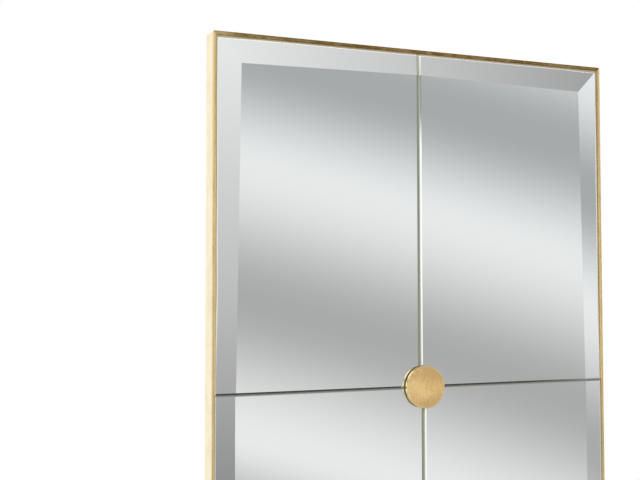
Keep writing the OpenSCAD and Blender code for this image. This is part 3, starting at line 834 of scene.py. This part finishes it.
# Painted highlight round the rim and on the side
DISC_PAINTED_HIGHLIGHT = (1.0, 0.87, 0.47)
# Painted shade on the rim's side above and below
DISC_PAINTED_RIM_SHADE = (0.42, 0.25, 0.07)
LEVEL_LINE_Z = -0.004

disc_gilding, surface, paint = new_finish("gilded_disc_leaf")
place = paint.node("TexCoord", out="Object")
x, _, z = place.parts()
from_axis = paint.sum("SQRT", x * x + z * z)
patches = place.noise(0.022, 3.0)
brushed = place.stretched(1.0, 1.0, 0.5).noise(0.0036, 4.0, 0.65)
scratches = place.stretched(1.0, 1.0, 0.12).noise(0.0007, 2.0)
from_level_line = (z - LEVEL_LINE_Z).size()
# Painted shade: darker to the right and away from a level middle line
painted_disc_shade = x.step(-0.026, 0.034) * 0.5 + from_level_line.step(0.004, 0.027) * 0.75
worn = painted_disc_shade + (patches - 0.5) * 1.2 + (brushed.step(0.32, 0.68) - 0.5) * 0.6
gold = worn.mix(DISC_LEAF, DISC_WORN_AND_SHADED)
gold = (scratches.step(0.56, 0.72) * 0.2).mix(gold, DISC_SCRATCH, "MULTIPLY")
# Painted highlight round the rim and on the side
gold = from_axis.step(0.0350, 0.0366).mix(gold, DISC_PAINTED_HIGHLIGHT)
# Painted shade on the rim's side, above and below
painted_rim_shade = z.step(0.024, 0.033) * 0.5 + (1.0 - z.step(-0.031, -0.012)) * 0.45
burnished = from_axis.step(0.0362, 0.0366) * (1.0 - z.step(0.026, 0.034) * 0.8)
paint.fill(surface, {
    "Base Color": (from_axis.step(0.0358, 0.0364) * painted_rim_shade).mix(gold, DISC_PAINTED_RIM_SHADE),
    "Roughness": 0.36 + brushed * 0.16 - burnished * 0.33,
    "Metallic": 0.55 + burnished * 0.4,
    "Normal": (brushed + scratches * 0.4).relief(0.0003, 0.3),
})
fit_piece(disc, disc_gilding, "mirror", "gilded_disc", "rosette")

# %% [markdown]
# ## Finishes of clouds
# Plated steel, blued steel, rubber and felt look different, but each has a colour
# that wanders between two shades in clouds of some size. Seven trees of nodes could
# be wired, all much alike. One function makes them instead, and its inputs say how
# they differ: shades, size of the clouds, roughness, share of metal and relief.

# %% Finish between two shades
def clouded(name, dark, pale, grain, rough, metal=0.0, relief=0.0):
    """Clouds grain metres across choose between the shades, and clouds a fifth as large between
    the two roughnesses. Both raise the surface, by up to relief metres."""
    finish, surface, paint = new_finish(name)
    place = paint.node("TexCoord", out="Object")
    large, small = place.noise(grain, 4.0), place.noise(grain / 5, 3.0)
    shade = large.step(0.3, 0.7) * 0.55 + small.step(0.3, 0.7) * 0.45
    roughness = rough[0] + small.step(0.3, 0.7) * (rough[1] - rough[0])
    colour = shade.mix(dark, pale)
    paint.fill(surface, {"Base Color": colour, "Roughness": roughness, "Metallic": metal})
    if relief:
        paint.fill(surface, {"Normal": (large * 0.4 + small).relief(relief, 0.6)})
    print(name, "has clouds", grain / MM, "mm across")
    return finish


zinc = clouded("zinc_plated_steel", (0.50, 0.51, 0.49), (0.66, 0.66, 0.62), 0.006, (0.30, 0.46), 0.9)
ring_zinc = clouded("ring_wire_zinc", (0.52, 0.53, 0.51), (0.68, 0.68, 0.64), 0.003, (0.26, 0.40), 0.9)
mill_steel = clouded("mill_steel", (0.30, 0.29, 0.28), (0.47, 0.46, 0.44), 0.009, (0.38, 0.58), 0.9)
blued = clouded("blued_spring_steel", (0.10, 0.11, 0.13), (0.19, 0.20, 0.23), 0.005, (0.3, 0.45), 0.9)
black = clouded("blackened_screws", (0.05, 0.05, 0.052), (0.12, 0.12, 0.12), 0.002, (0.4, 0.6), 0.7)
finish_nodes(zinc, "hanger_strap", "hanger_screws", "rosette_washer", "rosette_nut", "rosette_stud")
finish_nodes(mill_steel, "corner_key")
finish_nodes(blued, "clips_")
finish_nodes(black, "key_set_screws", "bumper_screws")

# %% [markdown]
# ## Backing board
# The backing board is pressed wood fibre. It is a warm brown with fine felted
# fibres on its faces, and darker and coarser at its sawn edges. One finish can do
# both, because the way a surface faces tells an edge from a face. Flecks of bark
# lie in it, drawn out a little upwards.

# %% Pressed fibreboard
BARK = (0.24, 0.14, 0.07)
SAWN_EDGE = (0.23, 0.14, 0.075)

board, surface, paint = new_finish("pressed_fibreboard")
place = paint.node("TexCoord", out="Object")
_, facing, _ = paint.node("TexCoord", out="Normal").parts()
sawn_edge = 1.0 - facing.size().step(0.4, 0.6)
felted = place.noise(0.0016, 5.0, 0.7)
flecks = place.stretched(1.0, 1.0, 0.35).noise(0.0009, 2.0)
blotches = place.noise(0.07, 3.0)
colour = (felted.step(0.3, 0.7) * 0.6 + blotches * 0.4).mix((0.36, 0.235, 0.13), (0.56, 0.40, 0.25))
colour = (flecks.step(0.62, 0.70) * 0.45).mix(colour, BARK)
paint.fill(surface, {
    "Base Color": (sawn_edge * 0.55).mix(colour, SAWN_EDGE),
    "Roughness": 0.68 + felted * 0.2 + sawn_edge * 0.1,
    "Normal": (felted + flecks * 0.5).relief(0.0003, 0.4),
})
finish_nodes(board, "backing_board")

# %% [markdown]
# ## Battens
# The battens are softwood, sawn from near the middle of a log. A wood image could be
# stretched over them, but real grain is solid: the year rings are shells round the
# log's middle line, and each face shows where it cuts them. So the finish measures
# how far a point lies from that line, which wanders a little along the batten. The
# saw left shallow waves, 15 mm apart.

# %% Sawn softwood
LOG_MIDDLE_X, LOG_MIDDLE_Y = 0.296, 0.038
RING_PITCH = 0.0034
SAW_WAVES = 420.0
EARLY_WOOD, LATE_WOOD = (0.66, 0.47, 0.265), (0.47, 0.27, 0.115)

softwood, surface, paint = new_finish("sawn_softwood")
place = paint.node("TexCoord", out="Object")
x, y, z = place.parts()
wander = place.stretched(1.0, 1.0, 0.12).noise(0.05, 2.0)
aside_of_log = x.size() - LOG_MIDDLE_X + wander * 0.02
behind_log = y - LOG_MIDDLE_Y + wander * 0.01
from_log = paint.sum("SQRT", aside_of_log * aside_of_log + behind_log * behind_log)
year = paint.sum("FRACT", from_log * (1 / RING_PITCH))
late_wood = year.step(0.35, 0.9) * (1.0 - year.step(0.93, 1.0))
fibres = place.stretched(1.0, 1.0, 0.03).noise(0.0007, 3.0)
saw_marks = paint.sum("SINE", z * SAW_WAVES + wander * 6.0)
colour = (late_wood * 0.75 + fibres * 0.25).mix(EARLY_WOOD, LATE_WOOD)
paint.fill(surface, {
    "Base Color": (place.noise(0.11, 2.0) * 0.35).mix(colour, (0.78, 0.68, 0.55), "MULTIPLY"),
    "Roughness": 0.55 + fibres * 0.25,
    "Normal": (fibres * 0.7 + saw_marks * 0.12 + late_wood * 0.2).relief(0.0003, 0.4),
})
finish_nodes(softwood, "left_batten", "right_batten")
print("year rings", RING_PITCH / MM, "mm apart")

# %% [markdown]
# ## Batten screws
# Five countersunk screws hold each batten to the board. A turned outline gives
# the head's cone, the thread and the point. The cross in the head could be cut with
# a Boolean, but it can also be drawn from the middle outwards without turning back,
# so it needs only a radius that changes with the angle.

# %% Countersunk screws
HEAD_R, SHANK_R, HEAD_H = 4.0, 2.0, 2.0
CROSS_HALF = 2.1
CROSS_SIDE = CROSS_HALF * np.tan(np.radians(15.0))
CROSS_DEPTH, CROSS_FLOOR = 1.2, 0.86
THREAD_DEPTH, THREAD_PITCH = 0.45, 1.4
POINT_H = 3.0
SCREWS_EACH = 5
SCREW_SIDES = 48


def cross_radius(angle):
    """The way from the middle out of a cross of two bars. The way out of a bar is the shorter of
    the ways to its end and to its side, and the longer of the two bars' ways counts."""
    ways = np.abs(np.stack([np.cos(angle), np.sin(angle)])) + 1e-9
    first = np.minimum(CROSS_HALF / ways[0], CROSS_SIDE / ways[1])
    second = np.minimum(CROSS_HALF / ways[1], CROSS_SIDE / ways[0])
    return np.maximum(first, second)


def screw_points(x, face_y, z, length):
    """Rings round an axis along Y: the cross and its floor, the head, the thread and the point."""
    angle = np.linspace(0.0, 2 * np.pi, SCREW_SIDES, endpoint=False)
    cross, ring = cross_radius(angle), np.ones(SCREW_SIDES)
    down = np.arange(HEAD_H + 0.6, length - POINT_H, THREAD_PITCH / 2)
    ridge = SHANK_R - THREAD_DEPTH * (np.arange(len(down)) % 2)
    rings = [(cross * 0.0, CROSS_DEPTH), (cross * CROSS_FLOOR, CROSS_DEPTH), (cross, 0.0)]
    rings += [(ring * (HEAD_R - 0.2), 0.0), (ring * HEAD_R, 0.15), (ring * SHANK_R, HEAD_H)]
    rings += [(ring * r, depth) for r, depth in zip(ridge, down)]
    rings += [(ring * 0.0, length)]
    radius, depth = (np.array(part) for part in zip(*rings))
    return grid(x + radius * np.cos(angle), face_y - depth[:, None], z + radius * np.sin(angle))


low, high = box_mm("batten_screws")
for side, x in (("left", low[0] + HEAD_R), ("right", high[0] - HEAD_R)):
    for number, z in enumerate(np.linspace(low[2] + HEAD_R, high[2] - HEAD_R, SCREWS_EACH), 1):
        points = screw_points(x, high[1], z, high[1] - low[1])
        screw = piece_from_grid(f"batten_screw_{side}_{number}", points * MM, "poles")
        fit_piece(screw, zinc, "mirror", "screw_steel", "batten_screws")

# %% [markdown]
# ## Foam tape
# Each pane is stuck to the board with three strips of foam tape. Seen close, it is
# full of small round cells. Plain noise gives clouds without walls between them. A
# Voronoi pattern gives cells: the distance to the nearest of many scattered points.

# %% Foam finish
CELLS_PER_METRE = 1900.0

foam, surface, paint = new_finish("white_foam")
place = paint.node("TexCoord", out="Object")
cells = place.node("TexVoronoi", {}, {"Vector": place, "Scale": CELLS_PER_METRE})
dust = place.noise(0.012, 3.0)
colour = cells.step(0.15, 0.75).mix((0.60, 0.585, 0.53), (0.80, 0.79, 0.74))
paint.fill(surface, {
    "Base Color": (dust * 0.3).mix(colour, (0.86, 0.82, 0.72), "MULTIPLY"),
    "Roughness": 0.8 + dust * 0.15,
    "Normal": cells.relief(0.0003, 0.5),
})
print("foam cells", round(1 / CELLS_PER_METRE / MM, 2), "mm apart")

# %% [markdown]
# ## Strips of tape
# A strip is cut square, but once it is pressed its sides bulge. A flat box would lose
# that, so its section is an eased outline with round sides, repeated up the strip.
# The strips of a pane are spread evenly over the tape's CAD box.

# %% Strips of foam tape
STRIPS_EACH = 3
STRIP_W = 25.0
ROUND_SHARE = 0.45
CORNERS = ("top_left", "top_right", "bottom_left", "bottom_right")

for corner in CORNERS:
    low, high = box_mm("tape_" + corner)
    round_side = (high[1] - low[1]) * ROUND_SHARE
    lengthwise = np.linspace(low[2], high[2], 40)[:, None]
    first_places = np.linspace(low[0], high[0] - STRIP_W, STRIPS_EACH)
    for number, first_x in enumerate(first_places, 1):
        corners = [(first_x, low[1]), (first_x + STRIP_W, low[1])]
        corners += [(first_x + STRIP_W, high[1]), (first_x, high[1])]
        bar, _ = with_steps(eased_outline(corners, [round_side] * 4, 6), 3.0)
        points = grid(bar[:, 0], bar[:, 1], lengthwise) * MM
        strip = piece_from_grid(f"foam_tape_{corner}_{number}", points, "caps")
        fit_piece(strip, foam, "mirror", "foam_tape", "tape_" + corner)

# %% [markdown]
# ## Felt pad
# The felt pad keeps the metal disc off the glass. It is squeezed by the stud's nut,
# so its side bulges between the disc and the panes, and it isn't quite round. It
# could be pressed in a simulation, but only its rim shows. So its section is drawn
# bulged and turned about the axis, and its rim is moved in and out by two waves.

# %% Felt pad
PAD_SOFT_R = 1.1
UNEVEN_FROM = 26.0

felt = clouded(
    "ochre_felt", (0.26, 0.165, 0.050), (0.55, 0.375, 0.125), 0.0035, (0.92, 1.0), relief=0.0006
)
low, high = box_mm("rosette_pad")
corners = [(STUD_R, low[1]), (high[0], low[1]), (high[0], high[1]), (STUD_R, high[1])]
outline, _ = with_steps(eased_outline(corners, [0.15, PAD_SOFT_R, PAD_SOFT_R, 0.15]), 1.5)
points = turned(outline, 128)
across = np.arctan2(points[..., 2], points[..., 0])
uneven = np.clip((np.hypot(points[..., 0], points[..., 2]) - UNEVEN_FROM) / 5.0, 0, 1)
shrink = 1 - 0.004 * uneven * (1 + np.sin(across * 5) * 0.6 + np.sin(across * 13 + 1) * 0.4)
points[..., [0, 2]] *= shrink[..., None]
pad = piece_from_grid("felt_pad", points.swapaxes(0, 1) * MM, "ring")
fit_piece(pad, felt, "mirror", "felt", "rosette_pad")

# %% [markdown]
# ## Bumpers
# The bumpers are moulded rubber, each with a well for its screw's head. A plain
# cylinder would do from a step away, but a moulded one has round rims and flares
# towards the batten. So it is turned too, and its outside is moved outwards by more
# the nearer it lies to the batten.

# %% Rubber bumpers
BUMPER_FLARE = 1.5
WELL_R, SCREW_R, SCREW_SEAT = 4.5, 2.0, 4.5
BUMPER_RADII = (0.1, 0.5, 1.0, 0.5, 0.4, 0.1)

rubber = clouded(
    "black_rubber", (0.018, 0.018, 0.019), (0.040, 0.040, 0.041), 0.004, (0.55, 0.8), relief=0.0001
)
for corner in CORNERS:
    low, high = box_mm("bumper_" + corner)
    foot_r = (high[0] - low[0]) / 2 - BUMPER_FLARE
    corners = [(SCREW_R, low[1]), (foot_r, low[1]), (foot_r, high[1]), (WELL_R, high[1])]
    corners += [(WELL_R, -SCREW_SEAT), (SCREW_R, -SCREW_SEAT)]
    outline, _ = with_steps(eased_outline(corners, BUMPER_RADII), 1.0)
    outside = np.clip((outline[:, 0] - WELL_R) / (foot_r - WELL_R), 0, 1)
    outline[:, 0] += BUMPER_FLARE * outside * (outline[:, 1] - high[1]) / (low[1] - high[1])
    middle = (low + high) / 2
    points = turned(outline, 96, middle[0], middle[2]).swapaxes(0, 1)
    bumper = piece_from_grid("rubber_bumper_" + corner, points * MM, "ring")
    fit_piece(bumper, rubber, "mirror", "bumper_rubber", "bumper_" + corner)

# %% [markdown]
# ## D rings
# Each hanger has a ring bent from one round wire: a straight bar that turns in the
# strap's fold, two short arms and a half round. Cylinders and a bent torus would meet
# at seams. One path with a round section carried along it has none. The path's
# sideways direction lies in its own plane, so the section never twists, and the
# whole ring is leaned back on its strap.

# %% Bend the rings
WIRE_R = 2.0
RING_HALF = 15.0
BEND_R = 3.5
ARM = 9.0
WIRE_SIDES = 28
RING_LEAN_DEG = 5.5
HINGE_Y, HINGE_Z = -5.8145, 293.0


def ring_path(longest):
    """Points (x, z) round the D: the bar, a bend, an arm, the half round, an arm and a bend."""
    bar = RING_HALF - BEND_R
    path = np.vstack([
        [(-bar, 0.0)],
        arc((bar, -BEND_R), BEND_R, 90.0, 0.0, 12),
        arc((0.0, -ARM), RING_HALF, 0.0, -180.0, 60),
        arc((-bar, -BEND_R), BEND_R, 180.0, 90.0, 12)[:-1],
    ])
    return with_steps(path, longest)[0]


def ring_points(hinge):
    """A circle of the wire's radius at each point of the path, spanned by the path's sideways
    direction in its own plane and by Y, then leaned about the hinge and moved to it."""
    path = ring_path(1.0)
    forwards = np.roll(path, -1, 0) - np.roll(path, 1, 0)
    forwards /= np.linalg.norm(forwards, axis=1, keepdims=True)
    sideways = np.stack([forwards[:, 1], -forwards[:, 0]], 1)
    t = np.linspace(0.0, 2 * np.pi, WIRE_SIDES, endpoint=False)
    flat = path[:, None] + WIRE_R * np.cos(t)[None, :, None] * sideways[:, None]
    back = WIRE_R * np.sin(t)[None]
    lean = np.radians(RING_LEAN_DEG)
    y = back * np.cos(lean) - flat[..., 1] * np.sin(lean)
    z = back * np.sin(lean) + flat[..., 1] * np.cos(lean)
    return grid(flat[..., 0], y, z) + np.array(hinge)


for side in ("left", "right"):
    low, high = box_mm("hanger_ring_" + side)
    points = ring_points(((low[0] + high[0]) / 2, HINGE_Y, HINGE_Z))
    ring = piece_from_grid("d_ring_" + side, points * MM, "ring")
    past = max((points.max((0, 1)) - high).max(), (low - points.min((0, 1))).max())
    print("the", side, "ring reaches past its CAD box by", round(past, 3), "mm")
    fit_piece(ring, ring_zinc, "ring_" + side, "hanger_steel", "hanger_ring_" + side)
